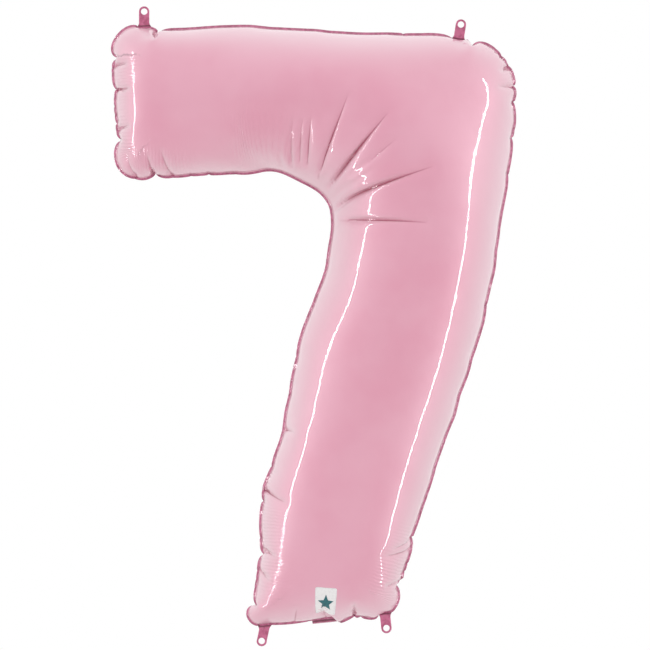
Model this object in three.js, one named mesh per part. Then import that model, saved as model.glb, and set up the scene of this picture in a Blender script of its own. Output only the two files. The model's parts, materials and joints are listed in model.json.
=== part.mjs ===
// A foil number balloon, the numeral seven, inflated and ready to hang.
//
// Two film panels are welded together round their edge and blown up by gas. The weld stands
// out as a flat flange. Four punched tabs for hanging and a fill neck grow out of the flange.
// The neck leads into a flat two-film valve that gas pressure closes from inside.
//
// Units are millimetres. X runs across the numeral, +Z is up, and the front faces -Y.
// The weld lies in the plane Y = 0. The origin is the centre of the bounding box.

import * as THREE from "three";
import { mergeVertices } from "three/addons/utils/BufferGeometryUtils.js";

// Film and weld. The real film is about 0.05 thick, and FILM stands in for it.
const FILM = 0.25;
const WELD = 0.5; // thickness of the fused layer between the two panels
const FLANGE = 7; // width of the weld round the edge

// Seam of the inflated numeral. Each row pairs a point of the outer edge with the point of
// the inner edge across the tube from it: [outer x, outer z, inner x, inner z, half depth].
const SECTIONS = [
  [-282, 420, -274, 220, 64], // free end of the arm
  [-150, 425, -154, 224, 90],
  [0, 420, -60, 219, 110],
  [130, 411, -26, 206, 121],
  [224, 400, 0, 190, 125], // top of the elbow
  [270, 382, 12, 174, 127],
  [283, 348, 20, 155, 128], // outer corner of the elbow
  [283, 290, 24, 133, 128],
  [270, 200, 22, 96, 127],
  [247, 74, 6, 30, 123],
  [204, -94, -30, -90, 113],
  [152, -257, -66, -255, 99],
  [112, -407, -82, -427, 84], // foot
];
const STATIONS = 44; // grid rows along the tube
const SPOKES = 12; // grid columns round half the tube
const END_BUNCHING = 0.55; // share by which rows crowd towards both ends
const ARM_CAP = 62; // length over which the arm's end swells to full depth
const FOOT_CAP = 80;

// Hanging tabs.
const TAB_WIDTH = 15;
const TAB_LENGTH = 29;
const TAB_FOOT_WIDTH = 20; // the tab flares a little where it leaves the flange
const TAB_FLARE_HEIGHT = 5;
const TAB_HOLE_RADIUS = 4.5;
const PLY_GAP = 0.1; // between the two films of a tab, or of the neck
const CREASE_CLEARANCE = 0.5; // from the flange's edge to the crease a flap folds on
const FLAP_CLEARANCE = 0.3; // from the crease to the flap

// Fill neck, folded up behind the balloon.
const NECK_WIDTH = 36;
const NECK_LENGTH = 62;
const NECK_MOUTH_WIDTH = 40;
const NECK_FOLD = THREE.MathUtils.degToRad(105); // from hanging straight down to folded up behind

// Valve, inside the foot.
const VALVE_FILM = 0.125;
const VALVE_WIDTH = 44;
const VALVE_LENGTH = 105;
const VALVE_CORNER = 8;
const VALVE_GAP = 0.15; // between the two valve films
const COAT_THICKNESS = 0.08; // heat-resistant ink that keeps the weld from closing the channel
const COAT_WIDTH = 24;
const COAT_LENGTH = 40;

const CURVE_STEPS = 6; // straight steps in each rounded corner of a film outline

const palette = {
  pinkFoil: { color: 0xe0a4b8, roughness: 0.22, metalness: 0.1 },
  weldedFoil: { color: 0xd07c9c, roughness: 0.3, metalness: 0.1 },
  clearFilm: { color: 0xe9ecee, roughness: 0.35, metalness: 0 },
  releaseInk: { color: 0xb9c4b4, roughness: 0.7, metalness: 0 },
};

const balloon = new THREE.Group();

function addPiece(name, geometry, look, parent = balloon) {
  const piece = new THREE.Mesh(geometry, new THREE.MeshStandardMaterial(palette[look]));
  piece.name = name;
  parent.add(piece);
  return piece;
}

// ---------------------------------------------------------------- seam and inflated surface

const along = (column) =>
  new THREE.CatmullRomCurve3(SECTIONS.map((s) => new THREE.Vector3(s[column], 0, s[column + 1])));
const outerRail = along(0);
const innerRail = along(2);
const halfDepths = new THREE.CatmullRomCurve3(SECTIONS.map((s, i) => new THREE.Vector3(i, s[4], 0)));

// Share of the way along the tube at a grid row, from 0 at the arm's end to 1 at the foot.
function railShare(row) {
  const share = row / STATIONS;
  return share - (END_BUNCHING * Math.sin(2 * Math.PI * share)) / (2 * Math.PI);
}

const quarterTurn = (v) => new THREE.Vector3(-v.z, 0, v.x);

// Everything about the tube's section at one grid row.
function sectionAt(row) {
  const share = railShare(row);
  const outer = outerRail.getPoint(share);
  const inner = innerRail.getPoint(share);
  return {
    outer,
    inner,
    outerNormal: quarterTurn(outerRail.getTangent(share)),
    innerNormal: quarterTurn(innerRail.getTangent(share)).negate(),
    middle: outer.clone().add(inner).multiplyScalar(0.5),
    halfDepth: halfDepths.getPoint(share).y,
  };
}

const sections = Array.from({ length: STATIONS + 1 }, (_, row) => sectionAt(row));

// Distance from the arm's end to each section along the middle of the tube.
const travelled = [0];
for (let row = 1; row <= STATIONS; row++) {
  travelled.push(travelled[row - 1] + sections[row].middle.distanceTo(sections[row - 1].middle));
}
const tubeLength = travelled[STATIONS];

// How far the film has risen towards full depth, as a quarter ellipse, at a distance from an end.
const rise = (distance, length) => Math.sqrt(1 - (1 - Math.min(1, distance / length)) ** 2);
const armRise = (row) => rise(travelled[row], ARM_CAP);
const footRise = (row) => rise(tubeLength - travelled[row], FOOT_CAP);

// Outward direction, in the plane of the weld, of the arm's end and of the foot.
function endNormal(section, sign) {
  return quarterTurn(section.outer.clone().sub(section.inner).normalize()).multiplyScalar(sign);
}
const armNormal = endNormal(sections[0], 1);
const footNormal = endNormal(sections[STATIONS], -1);

// A panel's grid has the flange's edge as its first and last rows and columns, the seam just
// inside that, and the inflated film between.
const ROWS = STATIONS + 2;
const COLUMNS = SPOKES + 2;
const onFrame = (row, column) => row === 0 || row === ROWS || column === 0 || column === COLUMNS;

function isWeldCell(row, column) {
  return row === 0 || row === ROWS - 1 || column === 0 || column === COLUMNS - 1;
}

// In-plane place of a grid point, with the flange's edge pushed out from the seam.
function planPoint(row, column) {
  const section = sections[THREE.MathUtils.clamp(row - 1, 0, STATIONS)];
  const spoke = THREE.MathUtils.clamp(column - 1, 0, SPOKES);
  const across = (1 - Math.cos((Math.PI * spoke) / SPOKES)) / 2;
  const point = section.outer.clone().lerp(section.inner, across);
  if (column === 0) point.addScaledVector(section.outerNormal, FLANGE);
  if (column === COLUMNS) point.addScaledVector(section.innerNormal, FLANGE);
  if (row === 0) point.addScaledVector(armNormal, FLANGE);
  if (row === ROWS) point.addScaledVector(footNormal, FLANGE);
  return point;
}

// Height of the inflated film above the weld's face at a grid point.
function filmHeight(row, column) {
  if (onFrame(row, column)) return 0;
  const roundness = Math.sin((Math.PI * (column - 1)) / SPOKES);
  return sections[row - 1].halfDepth * armRise(row - 1) * footRise(row - 1) * roundness;
}

// Inner skin of a panel. side is -1 for the front and 1 for the back.
function innerSkin(side) {
  const grid = [];
  for (let row = 0; row <= ROWS; row++) {
    grid.push([]);
    for (let column = 0; column <= COLUMNS; column++) {
      const point = planPoint(row, column);
      point.y = side * (WELD / 2 + filmHeight(row, column));
      grid[row].push(point);
    }
  }
  return grid;
}

// Push that lifts a grid point from the inner skin to the outer skin, in film thicknesses. It
// leans across the tube near its rails and along it near its ends, so that the skins never cross.
function skinPush(row, column, side) {
  const push = new THREE.Vector3(0, side, 0);
  if (onFrame(row, column)) return push;
  const { outerNormal, innerNormal } = sections[row - 1];
  const across = Math.cos((Math.PI * (column - 1)) / SPOKES);
  push.addScaledVector(outerNormal, Math.max(0, across));
  push.addScaledVector(innerNormal, Math.max(0, -across));
  push.addScaledVector(armNormal, Math.sqrt(1 - armRise(row - 1) ** 2));
  push.addScaledVector(footNormal, Math.sqrt(1 - footRise(row - 1) ** 2));
  return push;
}

function outerSkin(grid, side) {
  return grid.map((line, row) =>
    line.map((inner, column) => inner.clone().addScaledVector(skinPush(row, column, side), FILM)),
  );
}

// The sides of a grid cell, each with the neighbouring cell that lies beyond it.
const CELL_SIDES = [
  { from: [0, 0], to: [0, 1], beyond: [-1, 0] },
  { from: [0, 1], to: [1, 1], beyond: [0, 1] },
  { from: [1, 1], to: [1, 0], beyond: [1, 0] },
  { from: [1, 0], to: [0, 0], beyond: [0, -1] },
];

// A closed solid between two skins, over the grid cells that isIncluded accepts. Both skins
// split each cell along the same diagonal, which keeps a thin wall's two faces parallel.
function solidBetween(front, back, isIncluded) {
  const points = [];
  const addQuad = (a, b, c, d) => points.push(a, b, c, a, c, d);
  const included = (row, column) =>
    row >= 0 && row < ROWS && column >= 0 && column < COLUMNS && isIncluded(row, column);
  for (let row = 0; row < ROWS; row++) {
    for (let column = 0; column < COLUMNS; column++) {
      if (!included(row, column)) continue;
      const at = (skin, corner) => skin[row + corner[0]][column + corner[1]];
      addQuad(at(front, [0, 0]), at(front, [0, 1]), at(front, [1, 1]), at(front, [1, 0]));
      addQuad(at(back, [0, 0]), at(back, [1, 0]), at(back, [1, 1]), at(back, [0, 1]));
      for (const { from, to, beyond } of CELL_SIDES) {
        if (included(row + beyond[0], column + beyond[1])) continue;
        addQuad(at(front, to), at(front, from), at(back, from), at(back, to));
      }
    }
  }
  return mergeVertices(new THREE.BufferGeometry().setFromPoints(points));
}

function buildPanel(side) {
  const inner = innerSkin(side);
  const outer = outerSkin(inner, side);
  return side < 0 ? solidBetween(outer, inner, () => true) : solidBetween(inner, outer, () => true);
}

// The fused layer between the flanges, left open where the valve passes through it.
function buildWeld() {
  const flat = (y) =>
    innerSkin(1).map((line) => line.map((point) => new THREE.Vector3(point.x, y, point.z)));
  const middleColumn = COLUMNS / 2;
  const isValveSlot = (row, column) =>
    row === ROWS - 1 && (column === middleColumn - 1 || column === middleColumn);
  return solidBetween(
    flat(-WELD / 2),
    flat(WELD / 2),
    (row, column) => isWeldCell(row, column) && !isValveSlot(row, column),
  );
}

// ---------------------------------------------------------------- flat films: tabs, neck, valve

// A flat film of an outline drawn in X and Z, with its thickness from yLow along Y.
function filmGeometry(outline, thickness, yLow) {
  const solid = new THREE.ExtrudeGeometry(outline, {
    depth: thickness,
    bevelEnabled: false,
    curveSegments: CURVE_STEPS,
  });
  solid.rotateX(Math.PI / 2); // the outline's own Y becomes Z, and its thickness runs to -Y
  solid.translate(0, yLow + thickness, 0);
  solid.deleteAttribute("normal");
  solid.deleteAttribute("uv");
  return mergeVertices(solid);
}

// The two films of a flap, laid either side of its own mid plane.
function addPlies(name, outline, parent) {
  addPiece(`${name}_front_film`, filmGeometry(outline, FILM, -PLY_GAP / 2 - FILM), "weldedFoil", parent);
  addPiece(`${name}_back_film`, filmGeometry(outline, FILM, PLY_GAP / 2), "weldedFoil", parent);
}

// A frame on the flange's edge: its origin on the crease, its Z pointing outwards in the
// plane of the weld, and its X along the edge.
function creaseFrame(seamPoint, normal) {
  const frame = new THREE.Group();
  frame.position.copy(seamPoint).addScaledVector(normal, FLANGE + CREASE_CLEARANCE);
  frame.rotation.y = Math.atan2(normal.x, normal.z);
  balloon.add(frame);
  return frame;
}

// A tab with a flared foot, a round top and a punched hole. lean tips it sideways, in degrees.
function tabOutline(lean) {
  const tilt = Math.tan(THREE.MathUtils.degToRad(lean));
  const radius = TAB_WIDTH / 2;
  const holeHeight = TAB_LENGTH - radius;
  const topX = holeHeight * tilt;
  const flareX = TAB_FLARE_HEIGHT * tilt;
  const outline = new THREE.Shape();
  outline.moveTo(-TAB_FOOT_WIDTH / 2, FLAP_CLEARANCE);
  outline.lineTo(TAB_FOOT_WIDTH / 2, FLAP_CLEARANCE);
  outline.quadraticCurveTo(flareX + radius, TAB_FLARE_HEIGHT / 2, flareX + radius, TAB_FLARE_HEIGHT);
  outline.lineTo(topX + radius, holeHeight);
  outline.absarc(topX, holeHeight, radius, 0, Math.PI);
  outline.lineTo(flareX - radius, TAB_FLARE_HEIGHT);
  outline.quadraticCurveTo(flareX - radius, TAB_FLARE_HEIGHT / 2, -TAB_FOOT_WIDTH / 2, FLAP_CLEARANCE);
  outline.holes.push(new THREE.Path().absarc(topX, holeHeight, TAB_HOLE_RADIUS, 0, 2 * Math.PI, true));
  return outline;
}

function addTopTab(name, share, lean) {
  const normal = quarterTurn(outerRail.getTangent(share));
  addPlies(name, tabOutline(lean), creaseFrame(outerRail.getPoint(share), normal));
}

// A point of the foot's seam, as a share of the way from its outer to its inner corner.
function footPoint(share) {
  const foot = sections[STATIONS];
  return foot.outer.clone().lerp(foot.inner, share);
}

function addFootTab(name, share, lean) {
  addPlies(name, tabOutline(lean), creaseFrame(footPoint(share), footNormal));
}

function neckOutline() {
  const outline = new THREE.Shape();
  outline.moveTo(-NECK_WIDTH / 2, FLAP_CLEARANCE);
  outline.lineTo(NECK_WIDTH / 2, FLAP_CLEARANCE);
  outline.lineTo(NECK_MOUTH_WIDTH / 2, NECK_LENGTH);
  outline.lineTo(-NECK_MOUTH_WIDTH / 2, NECK_LENGTH);
  return outline;
}

function addNeck() {
  const crease = creaseFrame(footPoint(0.5), footNormal);
  const fold = new THREE.Group();
  fold.rotation.x = -NECK_FOLD;
  crease.add(fold);
  addPlies("fill_neck", neckOutline(), fold);
}

// A film that runs from the flange's edge up into the foot, rounded at its free end.
function valveOutline() {
  const half = VALVE_WIDTH / 2;
  const bottom = -FLANGE;
  const top = VALVE_LENGTH - FLANGE;
  const outline = new THREE.Shape();
  outline.moveTo(-half, bottom);
  outline.lineTo(half, bottom);
  outline.lineTo(half, top - VALVE_CORNER);
  outline.absarc(half - VALVE_CORNER, top - VALVE_CORNER, VALVE_CORNER, 0, Math.PI / 2);
  outline.absarc(VALVE_CORNER - half, top - VALVE_CORNER, VALVE_CORNER, Math.PI / 2, Math.PI);
  return outline;
}

function coatOutline() {
  const outline = new THREE.Shape();
  outline.moveTo(-COAT_WIDTH / 2, -FLANGE);
  outline.lineTo(COAT_WIDTH / 2, -FLANGE);
  outline.lineTo(COAT_WIDTH / 2, COAT_LENGTH - FLANGE);
  outline.lineTo(-COAT_WIDTH / 2, COAT_LENGTH - FLANGE);
  return outline;
}

function addValve() {
  const frame = new THREE.Group();
  const inwards = footNormal.clone().negate();
  frame.position.copy(footPoint(0.5));
  frame.rotation.y = Math.atan2(inwards.x, inwards.z);
  balloon.add(frame);
  const film = valveOutline();
  addPiece("valve_front_film", filmGeometry(film, VALVE_FILM, -VALVE_GAP / 2 - VALVE_FILM), "clearFilm", frame);
  addPiece("valve_back_film", filmGeometry(film, VALVE_FILM, VALVE_GAP / 2), "clearFilm", frame);
  const coat = filmGeometry(coatOutline(), COAT_THICKNESS, -COAT_THICKNESS / 2);
  addPiece("valve_release_coat", coat, "releaseInk", frame);
}

// ---------------------------------------------------------------- assembly

addPiece("front_panel", buildPanel(-1), "pinkFoil");
addPiece("back_panel", buildPanel(1), "pinkFoil");
addPiece("perimeter_weld", buildWeld(), "weldedFoil");
addTopTab("hang_tab_top_left", 0.024, 3);
addTopTab("hang_tab_top_right", 0.316, 0);
addFootTab("hang_tab_bottom_right", 0.055, 0);
addFootTab("hang_tab_bottom_left", 0.945, 18);
addNeck();
addValve();

// Put the origin at the centre of the bounding box.
balloon.updateMatrixWorld(true);
const centre = new THREE.Box3().setFromObject(balloon, true).getCenter(new THREE.Vector3());
balloon.position.set(-centre.x, 0, -centre.z);

export default balloon;
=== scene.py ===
"""Looks of a foil number balloon, the numeral seven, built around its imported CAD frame.

The film is cut flat, so it is modelled flat. A small cloth solver blows the flat pattern up,
which gives the swell, the waves of the edge and the larger folds. The sharp creases are then cut
in as grooves along set lines, and the finest ripples are a bump in the material. The result is
the front panel, the back panel and the weld between them. Everything is in metres, in the
frame's own axes.
"""
import json
import math

import bpy
import numpy as np
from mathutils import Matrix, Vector
from mathutils.bvhtree import BVHTree
from mathutils.geometry import barycentric_transform, delaunay_2d_cdt
from mathutils.kdtree import KDTree


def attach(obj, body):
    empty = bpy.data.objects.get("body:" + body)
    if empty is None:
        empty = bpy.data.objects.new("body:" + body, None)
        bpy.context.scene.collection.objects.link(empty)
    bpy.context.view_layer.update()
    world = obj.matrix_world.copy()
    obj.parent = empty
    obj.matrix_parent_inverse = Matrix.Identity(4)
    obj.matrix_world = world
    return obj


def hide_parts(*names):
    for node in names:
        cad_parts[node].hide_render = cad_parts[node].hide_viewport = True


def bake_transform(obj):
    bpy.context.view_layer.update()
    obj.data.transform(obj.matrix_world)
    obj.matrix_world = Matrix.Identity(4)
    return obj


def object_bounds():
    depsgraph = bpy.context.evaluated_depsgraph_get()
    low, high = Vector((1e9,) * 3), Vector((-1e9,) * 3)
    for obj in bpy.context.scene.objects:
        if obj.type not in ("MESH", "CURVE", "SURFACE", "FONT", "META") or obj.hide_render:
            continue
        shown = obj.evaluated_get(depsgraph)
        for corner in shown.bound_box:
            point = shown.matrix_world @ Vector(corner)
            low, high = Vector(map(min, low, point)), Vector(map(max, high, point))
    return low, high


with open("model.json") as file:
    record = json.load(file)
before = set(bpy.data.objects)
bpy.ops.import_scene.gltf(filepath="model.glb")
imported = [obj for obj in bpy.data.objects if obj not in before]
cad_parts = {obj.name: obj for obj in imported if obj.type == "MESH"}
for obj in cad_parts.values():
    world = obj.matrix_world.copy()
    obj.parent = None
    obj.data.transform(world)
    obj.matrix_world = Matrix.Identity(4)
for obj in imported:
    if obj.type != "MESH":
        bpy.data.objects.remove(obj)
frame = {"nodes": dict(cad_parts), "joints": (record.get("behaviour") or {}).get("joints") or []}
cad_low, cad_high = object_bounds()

MM = 0.001
rng = np.random.default_rng(7)

# -------------------- the film's flat pattern

# The seam of the flat pattern, side by side from corner to corner, counter-clockwise as the
# reader sees it. Points are (x, z) in millimetres, and a smooth curve joins those of one side.
PATTERN = [
    [(-269, 529), (-315, 417), (-337, 289)],  # end of the arm
    [
        (-337, 289), (-252, 245), (-161, 209), (-98, 186), (-46, 131),  # under the arm
        (-48, 52), (-70, -64), (-82, -206), (-89, -328), (-56, -511),  # down the stem
    ],
    [(-56, -511), (60, -509), (177, -486)],  # foot
    [
        (177, -486), (223, -368), (267, -213), (305, -56),  # up the stem
        (327, 106), (335, 270), (319, 380),
    ],
    [(319, 380), (232, 428), (83, 469), (-68, 504), (-171, 519), (-269, 529)],  # top
]
CORNER_REACH = [50, 48, 28, 38, 62]  # mm cut off the start of each side by a rounded corner
FLANGE = 3.5 * MM  # width of the weld outside the seam
COARSE_SPACING = 28 * MM  # point spacing of the first mesh, halved at each finer level
CURVE_STEPS = 24  # straight steps between two points of a side

# Lines of the pattern along which the film creases sharply, in millimetres: the start at or near
# the seam, the tip, and the depth of the groove.
CREASES = [
    [(-43, 224), (-15, 292), 2.2], [(-27, 206), (44, 311), 3.2],  # inner corner
    [(-8, 184), (96, 274), 4.0], [(9, 143), (155, 192), 3.4], [(20, 111), (152, 112), 3.0],
    [(69, 211), (101, 233), 0.8], [(-69, 226), (-41, 298), 0.9], [(-55, 226), (-27, 295), 1.2],
    [(-306, 472), (-257, 454), 1.6], [(-321, 432), (-264, 415), 2.4],  # end of the arm
    [(-340, 364), (-282, 363), 1.8],
    [(-314, 258), (-299, 322), 1.4], [(-289, 246), (-265, 314), 1.8],  # under the arm
    [(-261, 236), (-243, 311), 1.6], [(-204, 524), (-205, 484), 1.4],
    [(-97, -201), (-30, -203), 1.8], [(-101, -295), (-18, -306), 2.4],  # stem, left side
    [(-98, -385), (-28, -387), 2.2], [(-90, -421), (-36, -424), 1.8],
    [(330, 375), (292, 339), 1.8], [(342, 324), (278, 314), 1.4],  # stem, right side
    [(226, -356), (164, -360), 1.6], [(221, -373), (148, -370), 2.2], [(210, -423), (156, -422), 1.6],
    [(16, -509), (20, -464), 1.6], [(62, -506), (59, -455), 1.2], [(117, -497), (106, -450), 1.4],
]
# Stretches of the seam that gather into fine ripples, in millimetres: the middle of the stretch
# on the pattern, how far it reaches to both sides, and how far in from the seam it fades out.
GATHERS = [
    [(-94, -395), 72, 90], [(204, -405), 58, 90], [(-300, 470), 60, 76], [(-330, 350), 40, 60],
    [(-280, 248), 55, 84], [(-130, 195), 46, 170], [(-104, -290), 50, 30], [(300, 340), 70, 24],
]
GATHER_WAVE = 5.4 * MM  # from one ripple to the next
GATHER_DEPTH = 0.22 * MM
GATHER_WOBBLE = 3.0  # how unevenly the ripples follow each other, in radians
CREASE_WIDTH = 6 * MM
CREASE_START = 4 * MM  # how far the film starts out pushed in along a crease
CREASE_SINK = 1.4  # share of the gas pressure that a crease is spared
CREASE_STEEP = 1.1 * MM  # how fast a groove fades on its steep side, and on its gentle one
CREASE_GENTLE = 4.5 * MM
CREASE_SHADE = 0.85 * MM  # half the width of the painted dark line of shade inside a groove
CREASE_ROOT_TAPER = 0.18  # how far along its rise and fall a groove is already at its root
CREASE_TAPER_POWER = 0.7
CREASE_OVERHANG = 0.2  # share of a groove's length that reaches back past its root
CREASE_DARK_DEPTH = 2.6  # mm of depth from which the painted shade inside a groove is fully dark
CREASE_ROWS = np.array([-3.4, -1.7, -0.7, 0, 0.8, 2, 4]) * MM  # mesh rows beside a crease's line
CREASE_STEP = 2.2 * MM
CREASE_CLEAR = 4.4 * MM  # the solver's own points are dropped this near to a crease
SURFACE_CURVE = 0.8  # how fully added points follow the surface's curve


def lengths(vectors):
    return np.linalg.norm(vectors, axis=1)


def smooth_curve(points):
    """A dense curve through the points (Catmull-Rom), as an (n, 2) array."""
    p = np.array(points, float)
    p = np.vstack([2 * p[0] - p[1], p, 2 * p[-1] - p[-2]])
    t = np.linspace(0, 1, CURVE_STEPS, endpoint=False)[:, None]
    pieces = []
    for a, b, c, d in zip(p[:-3], p[1:-2], p[2:-1], p[3:]):
        cubic = 3 * b - a - 3 * c + d
        square = 2 * a - 5 * b + 4 * c - d
        pieces.append(b + 0.5 * ((c - a) * t + square * t**2 + cubic * t**3))
    return np.vstack(pieces + [p[-2:-1]])


def travelled(curve):
    """How far along a curve each of its points lies."""
    steps = lengths(np.diff(curve, axis=0))
    return np.concatenate([[0], np.cumsum(steps)])


def along(curve, at):
    """The points at the given distances along a curve."""
    reached = travelled(curve)
    return np.stack([np.interp(at, reached, curve[:, k]) for k in range(curve.shape[1])], axis=1)


def rounded_outline(sides, reaches):
    """The sides as one closed curve, whose corners are rounded off over the given reaches."""
    outline = []
    for k, (side, reach) in enumerate(zip(sides, reaches)):
        next_side = sides[(k + 1) % len(sides)]
        next_reach = reaches[(k + 1) % len(sides)]
        length = travelled(side)[-1]
        outline.append(along(side, np.linspace(reach, length - next_reach, len(side))))
        t = np.linspace(0, 1, CURVE_STEPS)[1:-1, None]
        start, corner = along(side, [length - next_reach]), side[-1]
        end = along(next_side, [next_reach])
        outline.append((1 - t) ** 2 * start + 2 * t * (1 - t) * corner + t**2 * end)
    return np.vstack(outline + [outline[0][:1]])


OUTLINE = rounded_outline([smooth_curve(side) for side in PATTERN], CORNER_REACH) * MM


def seam_points(level):
    """The pattern's seam as a closed ring of points, doubled in number at each level."""
    length = travelled(OUTLINE)[-1]
    count = round(length / COARSE_SPACING) * 2**level
    return along(OUTLINE, np.linspace(0, length, count, endpoint=False))


def outward(ring):
    """Unit normals that point out of a counter-clockwise ring."""
    heading = np.roll(ring, -1, axis=0) - np.roll(ring, 1, axis=0)
    heading /= lengths(heading)[:, None]
    return np.stack([heading[:, 1], -heading[:, 0]], axis=1)


def is_inside(points, ring):
    x, z = points.T
    result = np.zeros(len(points), bool)
    for (ax, az), (bx, bz) in zip(np.roll(ring, 1, axis=0), ring):
        if az == bz:
            continue
        crosses = (az > z) != (bz > z)
        result ^= crosses & (x < (bx - ax) * (z - az) / (bz - az) + ax)
    return result


def distance_to(points, ring):
    best = np.full(len(points), np.inf)
    for a, b in zip(np.roll(ring, 1, axis=0), ring):
        side = b - a
        share = np.clip((points - a) @ side / (side @ side), 0, 1)
        best = np.minimum(best, lengths(points - a - share[:, None] * side))
    return best


def densified(ring, spacing):
    """A closed ring with points added so that no gap is much over the spacing."""
    parts = []
    for a, b in zip(ring, np.roll(ring, -1, axis=0)):
        count = max(1, round(float(np.linalg.norm(b - a)) / spacing))
        parts.append(a + np.linspace(0, 1, count, endpoint=False)[:, None] * (b - a))
    return np.vstack(parts)


def counter_clockwise(points, triangles):
    """The triangles, with those that turn clockwise turned round."""
    a, b, c = (points[triangles[:, k]] for k in range(3))
    clockwise = np.cross(b - a, c - a) < 0
    triangles[clockwise] = triangles[clockwise][:, ::-1]
    return triangles


def triangulate(ring, spacing, clearance=0.62, holes=()):
    """A mesh of near-equilateral triangles inside a ring, whose points come first and in order."""
    low, high = ring.min(axis=0), ring.max(axis=0)
    rows = []
    for k, z in enumerate(np.arange(low[1], high[1], spacing * math.sqrt(0.75))):
        x = np.arange(low[0] + spacing / 2 * (k % 2), high[0], spacing)
        rows.append(np.stack([x, np.full_like(x, z)], axis=1))
    inner = np.vstack(rows)
    inner = inner[is_inside(inner, ring)]
    for loop in (ring, *holes):
        inner = inner[distance_to(inner, loop) > clearance * spacing]
    for hole in holes:
        inner = inner[~is_inside(inner, hole)]
    points = np.vstack([ring, *holes, inner])
    outline = [list(range(len(ring)))]
    rims = []
    first = len(ring)
    for hole in holes:
        rims += [(first + k, first + (k + 1) % len(hole)) for k in range(len(hole))]
        first += len(hole)
    found = delaunay_2d_cdt([Vector(p) for p in points], rims, outline, 1, 1e-9)
    triangles = np.array(found[2])
    for hole in holes:
        triangles = triangles[~is_inside(points[triangles].mean(axis=1), hole)]
    return points, counter_clockwise(points, triangles)


def filled(outline, spacing, holes=()):
    """An even mesh inside an outline that is given by its corners."""
    return triangulate(densified(outline, spacing), spacing, holes=holes)


def sides_of(triangles):
    """Every triangle's sides, each from its start to its end as the triangle turns."""
    return np.vstack([triangles[:, [0, 1]], triangles[:, [1, 2]], triangles[:, [2, 0]]])


def edges_of(triangles):
    return np.unique(np.sort(sides_of(triangles), axis=1), axis=0)


class Halving:
    """Splits every triangle of a panel in four, keeping the ring's points first and in order."""

    def __init__(self, triangles, count, ring):
        self.edges = edges_of(triangles)
        self.count = count
        codes = self.edges[:, 0] * count + self.edges[:, 1]
        i = np.arange(ring)
        pairs = np.sort(np.stack([i, (i + 1) % ring], axis=1), axis=1)
        ring_edges = np.searchsorted(codes, pairs[:, 0] * count + pairs[:, 1])
        self.old = np.concatenate([2 * i, 2 * ring + np.arange(count - ring)])
        self.new = np.full(len(self.edges), -1)
        self.new[ring_edges] = 2 * i + 1
        others = np.flatnonzero(self.new < 0)
        self.new[others] = count + ring + np.arange(len(others))

        def middle(a, b):
            pair = np.sort(np.stack([a, b], axis=1), axis=1)
            return self.new[np.searchsorted(codes, pair[:, 0] * count + pair[:, 1])]

        a, b, c = triangles.T
        ab, bc, ca = middle(a, b), middle(b, c), middle(c, a)
        a, b, c = self.old[a], self.old[b], self.old[c]
        corners = [(a, ab, ca), (ab, b, bc), (ca, bc, c), (ab, bc, ca)]
        self.triangles = np.vstack([np.stack(three, axis=1) for three in corners])

    def grow(self, values):
        """Values at the finer mesh's points, half way between the ends on each split edge."""
        finer = np.zeros((self.count + len(self.edges),) + values.shape[1:])
        finer[self.old] = values
        finer[self.new] = values[self.edges].mean(axis=1)
        return finer


def grow_ring(values):
    finer = np.repeat(values, 2, axis=0)
    finer[1::2] = (values + np.roll(values, -1, axis=0)) / 2
    return finer


# -------------------- inflating the film

CREASE_LINES = {  # where each flap is hinged to the weld: a point and the hinge's direction
    joint["child"]: (np.array(joint["pos_m"], float), np.array(joint["axis"], float))
    for joint in frame["joints"]
}
ROOT_HALF_WIDTH = {body: 24 * MM if body == "fill_neck" else 9 * MM for body in CREASE_LINES}
SETTLE_STEPS = 20
FLANGE_SET = 0.05 * MM  # how hard the flange's own stiffness turns it outwards, at each step


def independent_groups(pairs, count):
    """Splits pairs of points into groups in which no point comes twice."""
    used = [0] * count
    group = []
    for a, b in pairs.tolist():
        taken = used[a] | used[b]
        free = ~taken & (taken + 1)
        used[a] |= free
        used[b] |= free
        group.append(free.bit_length() - 1)
    group = np.array(group)
    return [np.flatnonzero(group == g) for g in range(group.max() + 1)]


def opposite_pairs(triangles):
    """For each pair of triangles with a common side, the two points that face each other."""
    sides = sides_of(triangles)
    facing = np.concatenate([triangles[:, 2], triangles[:, 0], triangles[:, 1]])
    sides = np.sort(sides, axis=1)
    order = np.lexsort((sides[:, 1], sides[:, 0]))
    sides, facing = sides[order], facing[order]
    same = (sides[1:] == sides[:-1]).all(axis=1)
    return np.stack([facing[:-1][same], facing[1:][same]], axis=1)


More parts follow.
